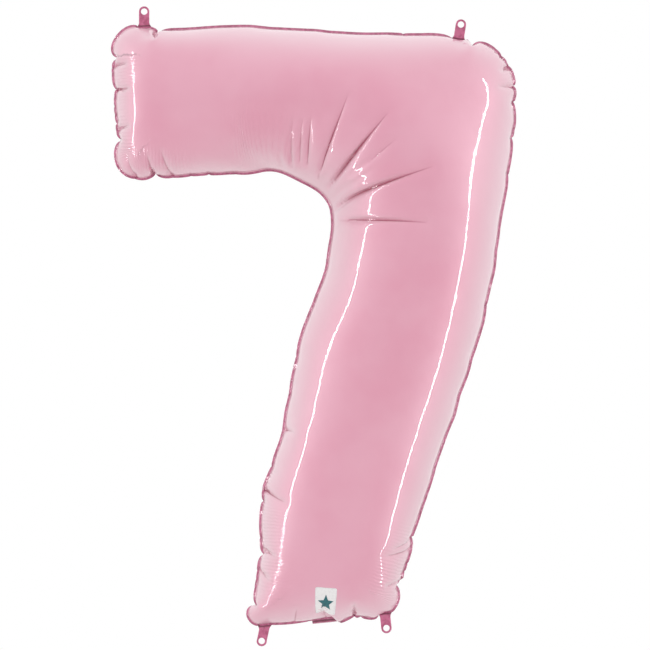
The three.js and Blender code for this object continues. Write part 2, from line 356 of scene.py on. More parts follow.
class Balloon:
    """Two film panels that share a seam, with a flange outside it, as points and springs.

    Points are the front panel's (the seam first), then the back panel's off the seam, then
    the flange's outer edge. Positions are (x, y, z), and the flat pattern lies in x and z.
    """

    def __init__(self, level, flat, triangles, ring):
        self.level, self.flat, self.front, self.ring = level, flat, triangles, ring
        count = len(flat)
        self.count = count
        self.edge_start = 2 * count - ring
        self.total = self.edge_start + ring
        self.back = np.where(triangles < ring, triangles, triangles + count - ring)[:, ::-1]
        i = np.arange(ring)
        j = (i + 1) % ring
        outer = self.edge_start
        self.flange = np.vstack(
            [np.stack([i, outer + i, outer + j], axis=1), np.stack([i, outer + j, j], axis=1)]
        )
        self.skin = np.vstack([self.front, self.back])
        edge = flat[:ring] + outward(flat[:ring]) * FLANGE
        self.rest = np.vstack([flat, flat[ring:], edge])

    def split(self, values):
        """Values of the front panel, the back panel (each with the seam) and the edge."""
        back = np.vstack([values[: self.ring], values[self.count : self.edge_start]])
        return values[: self.count], back, values[self.edge_start :]

    def finer(self, positions):
        """The next level's balloon, and its positions."""
        halving = Halving(self.front, self.count, self.ring)
        flat = halving.grow(self.flat)
        flat[: 2 * self.ring] = seam_points(self.level + 1)
        balloon = Balloon(self.level + 1, flat, halving.triangles, 2 * self.ring)
        front, back, edge = self.split(positions)
        parts = [halving.grow(front), halving.grow(back)[2 * self.ring :], grow_ring(edge)]
        return balloon, np.vstack(parts)


def creasing(points, width):
    """How near each point of the pattern is to a crease, from 0 to 1 on its line."""
    near = np.zeros(len(points))
    for root, tip, _ in CREASES:
        start = np.array(root) * MM
        line = np.array(tip) * MM - start
        share = np.clip((points - start) @ line / (line @ line), 0, 1)
        gap = lengths(points - start - share[:, None] * line)
        near = np.maximum(near, np.exp(-((gap / width) ** 2)))
    return near


def outwards_from(axis):
    """The direction, in the film's plane, that leads off the balloon at a crease."""
    return np.array([-axis[2], 0, axis[0]])


def nearest_tree(points):
    """Finds the nearest of some points of the seam's plane, given as (x, z)."""
    tree = KDTree(len(points))
    for k, (x, z) in enumerate(points):
        tree.insert((x, 0, z), k)
    tree.balance()
    return tree


def settle(balloon, x):
    """Moves the balloon as a whole so that its flange lies over the frame's weld."""
    weld = frame["nodes"]["perimeter_weld"].data.vertices
    tree = nearest_tree([(v.co.x, v.co.z) for v in weld])
    flange = np.unique(balloon.flange)
    for _ in range(SETTLE_STEPS):
        here = x[flange]
        there = np.array([tree.find((p[0], 0, p[2]))[0] for p in here])
        middle, aim = here.mean(axis=0), there.mean(axis=0)
        a, b = (here - middle)[:, [0, 2]], (there - aim)[:, [0, 2]]
        turn = math.atan2((a[:, 0] * b[:, 1] - a[:, 1] * b[:, 0]).sum(), (a * b).sum())
        cos, sin = math.cos(turn), math.sin(turn)
        x = x - middle
        x[:, [0, 2]] = x[:, [0, 2]] @ np.array([[cos, sin], [-sin, cos]])
        x += aim
    return x


def find_roots(balloon, x):
    """The points of the pattern's edge that lie nearest to the joints' creases."""
    edge = x[balloon.edge_start :]
    rest = balloon.rest[balloon.edge_start :]
    return {
        body: rest[np.argmin(lengths(edge - place))]
        for body, (place, _) in CREASE_LINES.items()
    }


def pins(balloon, x, roots):
    """The points of the flange at the joints' creases, and the flat places they are held at."""
    edge = balloon.rest[balloon.edge_start :]
    held = []
    places = []
    for body, (place, axis) in CREASE_LINES.items():
        gap = edge - roots[body]
        first = np.argmin(lengths(gap))
        last, following = (first - 1) % balloon.ring, (first + 1) % balloon.ring
        side = gap @ (edge[following] - edge[last])
        side /= np.linalg.norm(edge[following] - edge[last])
        reach = max(ROOT_HALF_WIDTH[body], abs(side[first]) + MM)
        near = np.flatnonzero(lengths(gap) < reach)
        heading = x[balloon.edge_start + following] - x[balloon.edge_start + last]
        forward = axis if heading @ axis > 0 else -axis
        on_edge = place + side[near, None] * forward
        held += [balloon.edge_start + near, near]
        places += [on_edge, on_edge - outwards_from(axis) * FLANGE]
    return np.concatenate(held), np.vstack(places)


def inflate(balloon, x, steps, passes, pressure, damping, bending, slack, hold, roots):
    """Moves the points by pressure, and holds the film's lengths after each step.

    slack is how freely an edge may shorten, from 0 (not at all) to 1: film that is slack
    shrinks smoothly where finer film would fold. hold draws the film back to where it starts,
    which keeps its folds small and many.
    """
    edges = edges_of(np.vstack([balloon.skin, balloon.flange]))
    across = np.vstack([opposite_pairs(t) for t in (balloon.front, balloon.back, balloon.flange)])
    crease = creasing(balloon.rest, CREASE_WIDTH / 2 ** (balloon.level - FOLDING_LEVEL))
    across = across[crease[across].mean(axis=1) < LIMP_CREASE]
    springs = []
    for pairs, strength, give in ((edges, 0.5, slack), (across, 0.5 * bending, 0)):
        rest = lengths(balloon.rest[pairs[:, 0]] - balloon.rest[pairs[:, 1]])
        for group in independent_groups(pairs, balloon.total):
            a, b = pairs[group].T
            springs.append((a, b, rest[group], strength, strength * (1 - give)))
    held, places = pins(balloon, x, roots) if roots else ([], x[[]])
    corners = balloon.skin.T
    load = pressure * (1 - (CREASE_SINK * crease if balloon.level >= FOLDING_LEVEL else 0))
    before = home = x.copy()
    for _ in range(steps):
        a, b, c = (x[k] for k in corners)
        facing = np.cross(b - a, c - a)
        area = lengths(facing)
        push = np.zeros_like(x)
        weight = np.zeros(balloon.total)
        for k in corners:
            weight += np.bincount(k, area, balloon.total)
            for axis in range(3):
                push[:, axis] += np.bincount(k, facing[:, axis], balloon.total)
        push *= (load / np.maximum(weight, 1e-12))[:, None]
        seam = x[: balloon.ring, [0, 2]]
        push[balloon.edge_start :, [0, 2]] += outward(seam) * FLANGE_SET
        before, x = x, x + (x - before) * damping + push + (home - x) * hold
        for _ in range(passes):
            for a, b, rest, stretched, squeezed in springs:
                gap = x[b] - x[a]
                length = np.sqrt(np.einsum("ij,ij->i", gap, gap))
                strength = np.where(length < rest, squeezed, stretched)
                gap *= ((length - rest) / length * strength)[:, None]
                x[a] += gap
                x[b] -= gap
            x[held] = places
    return x


SCHEDULE = [  # one row for each level, from the coarsest
    dict(steps=220, passes=12, pressure=0.4 * MM, damping=0.93, bending=0, slack=0.98, hold=0),
    dict(steps=110, passes=12, pressure=0.14 * MM, damping=0.93, bending=0, slack=0.98, hold=0),
    dict(steps=80, passes=12, pressure=0.05 * MM, damping=0.9, bending=0.01, slack=0.985, hold=0.02),
    dict(steps=36, passes=10, pressure=0.015 * MM, damping=0.9, bending=0.02, slack=0.95, hold=0.02),
]
LIMP_CREASE = 0.3  # film this near to a crease, on a scale of 0 to 1, has no stiffness of its own
TENT_REACH = 60 * MM  # how far in from the seam the flat film starts out rising, by half as much
FIRST_UNEVENNESS = 1 * MM  # random height of the flat film
FINER_UNEVENNESS = 0.3 * MM  # the same for finer levels, halved at each
FOLDING_LEVEL = 2  # the first level whose film can fold


def blow_up():
    """The inflated balloon and its positions."""
    ring = seam_points(0)
    flat, triangles = triangulate(ring, COARSE_SPACING)
    balloon = Balloon(0, flat, triangles, len(ring))
    x = np.insert(balloon.rest, 1, 0, axis=1)
    start = np.minimum(distance_to(flat, ring), TENT_REACH) / 2
    x[: balloon.count, 1] = -start
    x[balloon.count : balloon.edge_start, 1] = start[balloon.ring :]
    x[:, 1] += rng.normal(0, FIRST_UNEVENNESS, balloon.total)
    roots = None
    levels = SCHEDULE
    for level, settings in enumerate(levels):
        if level > 0:
            balloon, x = balloon.finer(x)
            x += rng.normal(0, FINER_UNEVENNESS / 2**level, x.shape)
        if level == FOLDING_LEVEL:
            depth = creasing(balloon.rest, CREASE_WIDTH) * CREASE_START
            x[: balloon.count, 1] += depth[: balloon.count]
            x[balloon.count : balloon.edge_start, 1] -= depth[balloon.count : balloon.edge_start]
        x = inflate(balloon, x, roots=roots, **settings)
        if level == 0:
            x = settle(balloon, x)
            roots = find_roots(balloon, x)
    return balloon, x, roots


# -------------------- the pieces' meshes


def normals_of(points, triangles):
    a, b, c = (points[triangles[:, k]] for k in range(3))
    facing = np.cross(b - a, c - a)
    normals = np.zeros_like(points)
    for k in range(3):
        for axis in range(3):
            normals[:, axis] += np.bincount(triangles[:, k], facing[:, axis], len(points))
    return normals / np.maximum(lengths(normals), 1e-12)[:, None]


def shell(points, triangles, outer, inner):
    """A closed skin around a sheet, from outer to inner along the sheet's normals."""
    normals = normals_of(points, triangles)
    top = points + normals * np.reshape(outer, (-1, 1))
    bottom = points + normals * np.reshape(inner, (-1, 1))
    sides = sides_of(triangles)
    code = sides[:, 0] * len(points) + sides[:, 1]
    mate = sides[:, 1] * len(points) + sides[:, 0]
    a, b = sides[~np.isin(code, mate)].T
    below = len(points)
    rim = np.vstack([np.stack([b, a, a + below], axis=1), np.stack([b, a + below, b + below], axis=1)])
    return np.vstack([top, bottom]), np.vstack([triangles, triangles[:, ::-1] + below, rim])


def make_piece(name, points, triangles, material, **attributes):
    """A mesh object with smooth shading. Attributes hold a number or a vector for each point."""
    mesh = bpy.data.meshes.new(name)
    mesh.from_pydata(points.tolist(), [], triangles.tolist())
    mesh.polygons.foreach_set("use_smooth", np.ones(len(triangles), bool))
    for label, values in attributes.items():
        is_number = values.ndim == 1
        kind = "FLOAT" if is_number else "FLOAT_VECTOR"
        attribute = mesh.attributes.new(label, kind, "POINT")
        attribute.data.foreach_set("value" if is_number else "vector", values.ravel())
    mesh.materials.append(material)
    piece = bpy.data.objects.new(name, mesh)
    bpy.context.scene.collection.objects.link(piece)
    return piece


def gathering(points, ring):
    """How far along the seam each point of the pattern lies, and how strongly it gathers there."""
    closed = densified(ring, GATHER_WAVE / 4)
    reached = travelled(closed)
    tree = nearest_tree(closed)
    nearest = np.array([tree.find((x, 0, z))[1:] for x, z in points])
    place = reached[nearest[:, 0].astype(int)]
    depth = nearest[:, 1]
    strength = np.zeros(len(points))
    for (x, z), reach, fade in GATHERS:
        middle = reached[tree.find((x * MM, 0, z * MM))[1]]
        beside = np.abs(place - middle) / (reach * MM)
        inwards = depth / (fade * MM)
        strength += np.exp(-(beside**4)) * np.sin(math.pi * inwards.clip(0, 1)) ** 1.5
    return place, strength


def groove(points, crease):
    """A crease's groove at points of the pattern: its depth, and how dark the painted shade inside it is."""
    root, tip, depth = crease
    start = np.array(root) * MM
    line = np.array(tip) * MM - start
    length = np.linalg.norm(line)
    share = (points - start) @ line / length**2
    side = (points - start) @ np.array([-line[1], line[0]]) / length
    fade = np.exp(-np.abs(side) / np.where(side < 0, CREASE_STEEP, CREASE_GENTLE))
    turn = CREASE_ROOT_TAPER + (1 - CREASE_ROOT_TAPER) * share
    taper = np.sin(math.pi * turn.clip(0, 1)) ** CREASE_TAPER_POWER
    taper = np.where((share > -CREASE_OVERHANG) & (share < 1), taper, 0)
    # painted shade: a dark line down the middle of the groove, fuller where it is deeper
    shade = np.exp(-((side / CREASE_SHADE) ** 2)) * taper * min(1, depth / CREASE_DARK_DEPTH)
    return np.stack([depth * MM * fade * taper, shade])


def crease_points(ring):
    """Rows of extra points of the pattern along both sides of each crease."""
    rows = []
    for root, tip, _ in CREASES:
        start, end = np.array(root) * MM, np.array(tip) * MM
        length = np.linalg.norm(end - start)
        along_line = (end - start) / length
        off_line = np.array([-along_line[1], along_line[0]])
        at = np.arange(0, length, CREASE_STEP)[:, None]
        rows += [start + at * along_line + off * off_line for off in CREASE_ROWS]
    points = np.vstack(rows)
    points = points[is_inside(points, ring)]
    return points[distance_to(points, ring) > CREASE_STEP / 2]


def curved_place(points, normals, triangles, index, weights):
    """Points on smoothly curved triangles (Phong tessellation), from their corners' weights."""
    corners = points[triangles[index]]
    flat = np.einsum("ij,ijk->ik", weights, corners)
    facing = normals[triangles[index]]
    off = np.einsum("ijk,ijk->ij", flat[:, None] - corners, facing)
    curved = flat - np.einsum("ij,ij,ijk->ik", weights, off, facing)
    return flat + SURFACE_CURVE * (curved - flat)


def refined(flat, triangles, ring_count, skin):
    """A panel remeshed with fine rows along its creases, grooved there, and with painted shade inside the
    grooves.
    """
    ring = flat[:ring_count]
    extra = crease_points(ring)
    keep = np.ones(len(flat), bool)
    keep[ring_count:] = creasing(flat[ring_count:], CREASE_CLEAR) < math.exp(-1)
    tree = BVHTree.FromPolygons([Vector(p) for p in in_plane(flat)], triangles.tolist())
    index = []
    weights = []
    for x, z in extra:
        found = tree.ray_cast(Vector((x, -1, z)), Vector((0, 1, 0)))[2]
        a, b, c = flat[triangles[found]]
        u, v = np.linalg.solve(np.stack([b - a, c - a], axis=1), np.array([x, z]) - a)
        index.append(found)
        weights.append((1 - u - v, u, v))
    normals = normals_of(skin, triangles)
    placed = curved_place(skin, normals, triangles, np.array(index), np.array(weights))
    points = np.vstack([flat[keep], extra])
    found = delaunay_2d_cdt([Vector(p) for p in points], [], [list(range(ring_count))], 1, 1e-9)
    finer = counter_clockwise(points, np.array(found[2]))
    place = np.vstack([skin[keep], placed])
    normals = normals_of(place, finer)
    depth, shade = sum(groove(points, crease) for crease in CREASES)
    return points, finer, place - normals * depth[:, None], shade.clip(0, 1)


def twice(values):
    """A sheet's values for both faces of its shell."""
    return np.concatenate([values, values]).astype(np.float32)


def in_plane(points):
    """Points of the flat pattern, as vectors for the materials."""
    return np.insert(points, 1, 0, axis=1)


# -------------------- materials


def new_material(name):
    """A node material, its node tree and its principled shader."""
    material = bpy.data.materials.new(name)
    material.use_nodes = True
    tree = material.node_tree
    return material, tree, tree.nodes["Principled BSDF"]


def set_inputs(tree, node, inputs):
    """Links or sets a node's inputs, given by name or number."""
    for label, value in inputs.items():
        if isinstance(value, bpy.types.NodeSocket):
            tree.links.new(value, node.inputs[label])
        else:
            node.inputs[label].default_value = value


def add_node(tree, kind, inputs=None, **settings):
    node = tree.nodes.new(kind)
    for key, value in settings.items():
        setattr(node, key, value)
    set_inputs(tree, node, inputs or {})
    return node


def math_node(tree, operation, a, b=0.0):
    return add_node(tree, "ShaderNodeMath", {0: a, 1: b}, operation=operation).outputs[0]


def ramp(tree, value, low, high, bottom=0.0, top=1.0):
    """value taken from low..high to bottom..top and held there, with eased ends."""
    inputs = {"Value": value, "From Min": low, "From Max": high, "To Min": bottom, "To Max": top}
    return add_node(tree, "ShaderNodeMapRange", inputs, interpolation_type="SMOOTHSTEP").outputs["Result"]


def attribute(tree, name, output="Vector"):
    return add_node(tree, "ShaderNodeAttribute", attribute_name=name).outputs[output]


def noise(tree, vector, scale, detail=2.0, roughness=0.5):
    inputs = {"Vector": vector, "Scale": scale, "Detail": detail, "Roughness": roughness}
    return add_node(tree, "ShaderNodeTexNoise", inputs, noise_dimensions="3D").outputs["Fac"]


def mix_colour(tree, share, a, b):
    return add_node(tree, "ShaderNodeMix", {0: share, 6: a, 7: b}, data_type="RGBA").outputs[2]


def bump(tree, shader, *layers):
    """Sets the shader's normal from (height, depth in metres) layers, the first lowest."""
    normal = None
    for height, depth in layers:
        node = add_node(tree, "ShaderNodeBump", {"Distance": depth, "Height": height})
        if normal is not None:
            tree.links.new(normal, node.inputs["Normal"])
        normal = node.outputs["Normal"]
    tree.links.new(normal, shader.inputs["Normal"])
    return normal


def srgb(red, green, blue):
    """A screen colour from 0 to 255, as the linear colour that a node takes."""
    return (*(((v / 255 + 0.055) / 1.055) ** 2.4 for v in (red, green, blue)), 1)


PINK = srgb(240, 171, 193)
PINK_DEEP = srgb(236, 160, 184)
PINK_PAINTED_CREASE_SHADE = srgb(168, 16, 76)  # painted shade inside a crease, where a groove's walls would be dark
PINK_PAINTED_SHEEN = srgb(241, 198, 211)  # painted sheen where the film turns away from the eye, standing in for the white studio's reflection
WELD_PINK = srgb(214, 112, 152)
WELD_DARK = srgb(184, 82, 122)
GRAIN_GREY = srgb(186, 150, 164)
ROOT_SHADE = srgb(96, 28, 52)  # where a flap meets the weld


def pressed_grain(tree, pattern):
    """The fine crossed ridges that the sealing jaws leave, as a height from 0 to 1."""
    ridges = []
    for angle in (math.radians(45), math.radians(-45)):
        turned = add_node(tree, "ShaderNodeMapping", {"Vector": pattern, "Rotation": (0, angle, 0)})
        bands = {"Vector": turned.outputs[0], "Scale": 180, "Distortion": 0.6}
        ridges.append(add_node(tree, "ShaderNodeTexWave", bands, wave_type="BANDS").outputs["Fac"])
    return math_node(tree, "MULTIPLY", *ridges)


def foil_material():
    """Pastel film with a clear gloss, deeper pink where welded; painted crease shade, and a painted pearly
    sheen at the outline.
    """
    material, tree, shader = new_material("foil_film")
    pattern = attribute(tree, "pattern")
    welded = ramp(tree, attribute(tree, "weld", "Fac"), 0.04, 0.16)
    cloudy = ramp(tree, noise(tree, pattern, 7, 3), 0.35, 0.65)
    skin = mix_colour(tree, cloudy, PINK, PINK_DEEP)
    # painted sheen: the colour pales towards the outline, standing in for the studio's white reflection at
    # grazing angles
    facing = add_node(tree, "ShaderNodeLayerWeight", {"Blend": 0.5}).outputs["Facing"]
    painted_sheen = ramp(tree, facing, 0.03, 0.62, 0, 0.92)
    skin = mix_colour(tree, painted_sheen, skin, PINK_PAINTED_SHEEN)
    # painted shade: the lines inside the creases are darkened in the base colour
    skin = mix_colour(tree, attribute(tree, "fold", "Fac"), skin, PINK_PAINTED_CREASE_SHADE)
    grain = pressed_grain(tree, pattern)
    seal = mix_colour(tree, ramp(tree, noise(tree, pattern, 160, 2), 0.4, 0.62), WELD_PINK, WELD_DARK)
    haze = ramp(tree, noise(tree, pattern, 30, 3), 0.3, 0.7, 0.42, 0.5)
    dulled = math_node(tree, "ADD", haze, math_node(tree, "MULTIPLY", welded, 0.12))
    gloss = ramp(tree, noise(tree, pattern, 45, 2), 0.3, 0.7, 0.03, 0.06)
    turns = math_node(tree, "MULTIPLY", attribute(tree, "along", "Fac"), 2 * math.pi / GATHER_WAVE)
    wobble = math_node(tree, "MULTIPLY", noise(tree, pattern, 40, 2), GATHER_WOBBLE)
    wave = math_node(tree, "SINE", math_node(tree, "ADD", turns, wobble))
    pleats = math_node(tree, "MULTIPLY", wave, attribute(tree, "gather", "Fac"))
    ripple = noise(tree, pattern, 22, 3, 0.55)
    crinkle = noise(tree, pattern, 700, 3, 0.6)
    sealed = math_node(tree, "MULTIPLY", grain, welded)
    normal = bump(
        tree, shader, (ripple, 0.5 * MM), (pleats, GATHER_DEPTH), (crinkle, 0.01 * MM), (sealed, 0.12 * MM)
    )
    looks = {
        "Base Color": mix_colour(tree, welded, skin, seal),
        "Metallic": 0.1,
        "Roughness": dulled,
        "Coat Weight": 1,
        "Coat IOR": 1.6,
        "Coat Roughness": gloss,
        "Coat Normal": normal,
    }
    set_inputs(tree, shader, looks)
    return material


def weld_material():
    """Two plies of film sealed together: deeper pink, pressed with a fine grain, greyed on top."""
    material, tree, shader = new_material("welded_film")
    pattern = attribute(tree, "pattern")
    grain = pressed_grain(tree, pattern)
    tone = mix_colour(tree, ramp(tree, noise(tree, pattern, 140, 3), 0.38, 0.66), WELD_PINK, WELD_DARK)
    worn = math_node(tree, "MULTIPLY", ramp(tree, noise(tree, pattern, 420, 2), 0.5, 0.66), grain)
    greyed = mix_colour(tree, math_node(tree, "MULTIPLY", worn, 0.8), tone, GRAIN_GREY)
    near_root = ramp(tree, attribute(tree, "rise", "Fac"), 0.5 * MM, 3 * MM, 0.85, 0)
    looks = {
        "Base Color": mix_colour(tree, near_root, greyed, ROOT_SHADE),
        "Metallic": 0.3,
        "Roughness": 0.38,
        "Coat Weight": 0.7,
        "Coat Roughness": 0.12,
        "Coat Normal": bump(tree, shader, (noise(tree, pattern, 90, 3), 0.6 * MM), (grain, 0.15 * MM)),
    }
    set_inputs(tree, shader, looks)
    return material


def valve_material():
    """Clear film gone slightly milky, with fine creases."""
    material, tree, shader = new_material("valve_film")
    pattern = attribute(tree, "pattern")
    milky = ramp(tree, noise(tree, pattern, 60, 4), 0.35, 0.7)
    tone = mix_colour(tree, milky, srgb(236, 236, 240), srgb(206, 208, 216))
    rough = ramp(tree, milky, 0, 1, 0.15, 0.4)
    set_inputs(tree, shader, {"Base Color": tone, "Roughness": rough, "Transmission Weight": 0.6})
    bump(tree, shader, (noise(tree, pattern, 110, 3), 0.4 * MM))
    return material


def ink_material(name, colour, speck, roughness=0.45):
    """Printed ink with a faint mottle and the press's fine speckle."""
    material, tree, shader = new_material(name)
    pattern = attribute(tree, "pattern")
    mottle = ramp(tree, noise(tree, pattern, 260, 4, 0.65), 0.42, 0.7)
    tone = mix_colour(tree, mottle, colour, speck)
    rough = ramp(tree, mottle, 0, 1, roughness, roughness + 0.15)
    set_inputs(tree, shader, {"Base Color": tone, "Roughness": rough})
    bump(tree, shader, (noise(tree, pattern, 900, 2), 0.01 * MM))
    return material


def floor_material():
    material, tree, shader = new_material("floor")
    place = add_node(tree, "ShaderNodeTexCoord").outputs["Object"]
    tone = mix_colour(tree, noise(tree, place, 3, 4), srgb(240, 239, 238), srgb(232, 231, 230))
    set_inputs(tree, shader, {"Base Color": tone, "Roughness": 0.75})
    return material


foil = foil_material()
welded_film = weld_material()
valve_film = valve_material()
release_ink = ink_material("release_ink", srgb(214, 206, 210), srgb(188, 180, 188), 0.6)
mark_white = ink_material("mark_white", srgb(250, 248, 248), srgb(240, 236, 238))
mark_teal = ink_material("mark_teal", srgb(38, 110, 118), srgb(30, 92, 100))


# -------------------- panels and weld

FILM = 0.2 * MM
FILM_GAP = 0.2 * MM  # from the middle of the weld to the inner face of a panel's flange
WELD_HALF = 0.1 * MM
WELD_LIP = 0.3 * MM  # how far the weld stands out beyond the two panels' edges
CHANNEL_HALF_WIDTH = 24.5 * MM  # the valve's channel, which the weld leaves open

balloon, film, roots = blow_up()
front, back, edge = balloon.split(film)
ring = balloon.ring
edge_rest = balloon.rest[balloon.edge_start :]


def add_panel(name, node, skin, facing):
    """One panel with its ply of the flange. facing is -1 for the front and 1 for the back."""
    flat, triangles, place, shade = refined(balloon.flat, balloon.front, ring, skin)
    flange = balloon.flange
    flange = np.where(flange < balloon.edge_start, flange, flange + len(flat) - balloon.edge_start)
    faces = np.vstack([triangles, flange])
    if facing > 0:
        faces = faces[:, ::-1]
    on_edge = np.concatenate([np.zeros(len(flat)), np.ones(ring)])
    points, closed = shell(np.vstack([place, edge]), faces, FILM_GAP + FILM, FILM_GAP)
    pattern = twice(in_plane(np.vstack([flat, edge_rest])))
    place_on_seam, strength = gathering(flat, flat[:ring])
    attributes = dict(
        pattern=pattern,
        weld=twice(on_edge),
        along=twice(np.concatenate([place_on_seam, place_on_seam[:ring]])),
        gather=twice(np.concatenate([strength, np.zeros(ring)])),
        # painted shade along the creases' lines
        fold=twice(np.concatenate([shade, np.zeros(ring)])),
    )
    piece = make_piece(name, points, closed, foil, **attributes)
    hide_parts(node)
    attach(piece, "envelope")
    return flat, triangles, place


mark_base = add_panel("front_film", "front_panel", front, -1)
add_panel("back_film", "back_panel", back, 1)


def add_weld():
    seam = film[:ring]
    lip = edge + (edge - seam) * (WELD_LIP / FLANGE)
    points = np.vstack([seam, lip])
    rest = np.vstack([balloon.flat[:ring], edge_rest])
    triangles = np.where(balloon.flange < ring, balloon.flange, balloon.flange + ring - balloon.edge_start)
    middles = rest[triangles].mean(axis=1)
    closed = lengths(middles - roots["fill_neck"]) > CHANNEL_HALF_WIDTH
    points, faces = shell(points, triangles[closed], WELD_HALF, -WELD_HALF)
    far = np.full(len(points), 1.0, np.float32)
    piece = make_piece("seam_weld", points, faces, welded_film, pattern=twice(in_plane(rest)), rise=far)
    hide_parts("perimeter_weld")
    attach(piece, "envelope")


add_weld()


# -------------------- hanging tabs and fill neck

ROOT_DEPTH = 2.5 * MM  # how far a flap reaches into the weld
PLY_GAP = 0.11 * MM  # from the middle of a flap to the inner face of a ply, within the weld
ROOT_PLY = 0.08 * MM
PLY = 0.25 * MM
TAB_WIDTH = 15 * MM
TAB_FOOT_WIDTH = 20 * MM
TAB_FLARE = 6 * MM
TAB_LENGTH = 29 * MM
TAB_HOLE_RADIUS = 4.6 * MM
TAB_SPACING = 1.3 * MM
TAB_RIDGE = 0.5 * MM  # height of the ridge beside a tab's crease
TAB_WAVE = 0.35 * MM
TABS = {  # the body, then its nodes' name and its lean in degrees
    "top_left_tab": ("hang_tab_top_left", 3),
    "top_right_tab": ("hang_tab_top_right", 0),
    "bottom_right_tab": ("hang_tab_bottom_right", 0),
    "bottom_left_tab": ("hang_tab_bottom_left", 18),
}
NECK_WIDTH = 36 * MM
NECK_MOUTH_WIDTH = 40 * MM
NECK_LENGTH = 62 * MM
NECK_FOLD = math.radians(105)
NECK_BEND = 1.6 * MM  # radius of the fold at its root
NECK_MOUTH_OPEN = 1.4 * MM
NECK_SPACING = 2 * MM
NECK_WAVE = 0.5 * MM
NECK_SAG = 1.2 * MM  # how much further the middle of the mouth stands off the foot than its sides
NECK_BOW = 8 * MM  # how far the folded neck curves away from the foot's bulge
NECK_BOW_LEAD = 0.75  # below 1, the bow is widest nearer to the crease


def tab_outline(lean):
    """The outline and the hole of a tab, as points along and off its crease."""
    tilt = math.tan(math.radians(lean))
    half = TAB_WIDTH / 2
    centre = np.array([(TAB_LENGTH - half) * tilt, TAB_LENGTH - half])
    turn = np.linspace(0, math.pi, 17)[:, None]
    tip = centre + half * np.hstack([np.cos(turn), np.sin(turn)])
    rise = np.linspace(0, 1, 6)[1:]
    flare = TAB_FOOT_WIDTH / 2 - half
    sides = []
    for hand in (1, -1):
        off = hand * (half + flare * (1 - rise) ** 2) + TAB_FLARE * rise * tilt
        sides.append(np.stack([off, TAB_FLARE * rise], axis=1))
    root = [[-TAB_FOOT_WIDTH / 2, -ROOT_DEPTH], [TAB_FOOT_WIDTH / 2, -ROOT_DEPTH]]
    corners = np.array([[TAB_FOOT_WIDTH / 2, 0]]), np.array([[-TAB_FOOT_WIDTH / 2, 0]])
    outline = np.vstack([root, corners[0], sides[0], tip, sides[1][::-1], corners[1]])
    turn = np.linspace(0, 2 * math.pi, 28, endpoint=False)[:, None]
    hole = centre + TAB_HOLE_RADIUS * np.hstack([np.cos(turn), np.sin(turn)])
    return outline, hole


def add_flap(name, body, flat, triangles, place, thickness, gap, blend_from, blend_to):
    """The two plies of a tab or of the neck, shaped from the crease where they leave the weld."""
    points = np.array([place(u, v) for u, v in flat])
    rise = flat[:, 1].clip(0)
    for side, faces in (("front", triangles), ("back", triangles[:, ::-1])):
        closed, skin = shell(points, faces, gap + thickness, gap)
        pattern = twice(in_plane(flat) + [0, 0.01 * len(name), 0])
        piece = make_piece(f"{name}_{side}_ply", closed, skin, welded_film, pattern=pattern, rise=twice(rise))
        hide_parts(f"{name}_{side}_film")
        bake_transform(piece)
        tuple(blend_from)
        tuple(blend_to)


def ply_thickness(flat):
    return ROOT_PLY + (PLY - ROOT_PLY) * (flat[:, 1] / (2 * MM)).clip(0, 1)


def add_tab(body, name, lean):
    crease, axis = CREASE_LINES[body]
    out = outwards_from(axis)
    outline, hole = tab_outline(lean)
    flat, triangles = filled(outline, TAB_SPACING, [hole])
    bow, twist, phase = rng.uniform(0.6, 1.4), rng.uniform(-0.05, 0.05), rng.uniform(0, 6)

    def place(u, v):
        share = max(v, 0) / TAB_LENGTH
        ridge = TAB_RIDGE * math.exp(-(((v - 2.2 * MM) / (0.9 * MM)) ** 2))
        wave = TAB_WAVE * math.sin(0.55 * v / MM + phase) * share
        y = -bow * MM * share**2 + twist * u * share + wave - ridge
        return crease + u * axis + v * out + np.array([0, y, 0])

    ends = (crease - 1 * MM * out, crease + 2.5 * MM * out)
    add_flap(name, body, flat, triangles, place, ply_thickness(flat), PLY_GAP, *ends)


for tab_body, (tab_name, tab_lean) in TABS.items():
    add_tab(tab_body, tab_name, tab_lean)


def add_neck():
    crease, axis = CREASE_LINES["fill_neck"]
    out = outwards_from(axis)
    off = np.array([0, math.sin(NECK_FOLD), 0]) + math.cos(NECK_FOLD) * out
    arc = NECK_BEND * NECK_FOLD
    half, mouth = NECK_WIDTH / 2, NECK_MOUTH_WIDTH / 2
    root = [(-half, -ROOT_DEPTH), (half, -ROOT_DEPTH)]
    outline = np.array(root + [(mouth, NECK_LENGTH), (-mouth, NECK_LENGTH)])
    flat, triangles = filled(outline, NECK_SPACING)

    def place(u, v):
        if v < 0:
            return crease + u * axis + v * out
        turned = min(v, arc) / NECK_BEND
        centre = crease + np.array([0, NECK_BEND, 0])
        at = centre + NECK_BEND * (math.sin(turned) * out - math.cos(turned) * np.array([0, 1, 0]))
        straight = max(v - arc, 0)
        share = v / NECK_LENGTH
        towards_foot = np.cross(off, axis)
        wave = NECK_WAVE * math.sin(0.9 * u / (4 * MM)) * math.sin(0.13 * v / MM) * share
        sag = NECK_SAG * share * (1 - (u / mouth) ** 2)
        bow = NECK_BOW * math.sin(math.pi * share**NECK_BOW_LEAD)
        return at + straight * off + u * axis + (wave - sag - bow) * towards_foot

    share = (flat[:, 1] / NECK_LENGTH - 0.6).clip(0) / 0.4
    open_gap = NECK_MOUTH_OPEN * share**2 * (1 - (flat[:, 0] / mouth) ** 2).clip(0)
    ends = (crease + 0.7 * MM * off, crease + 5 * MM * off)
    add_flap("fill_neck", "fill_neck", flat, triangles, place, ply_thickness(flat), PLY_GAP + open_gap, *ends)


add_neck()


# -------------------- valve

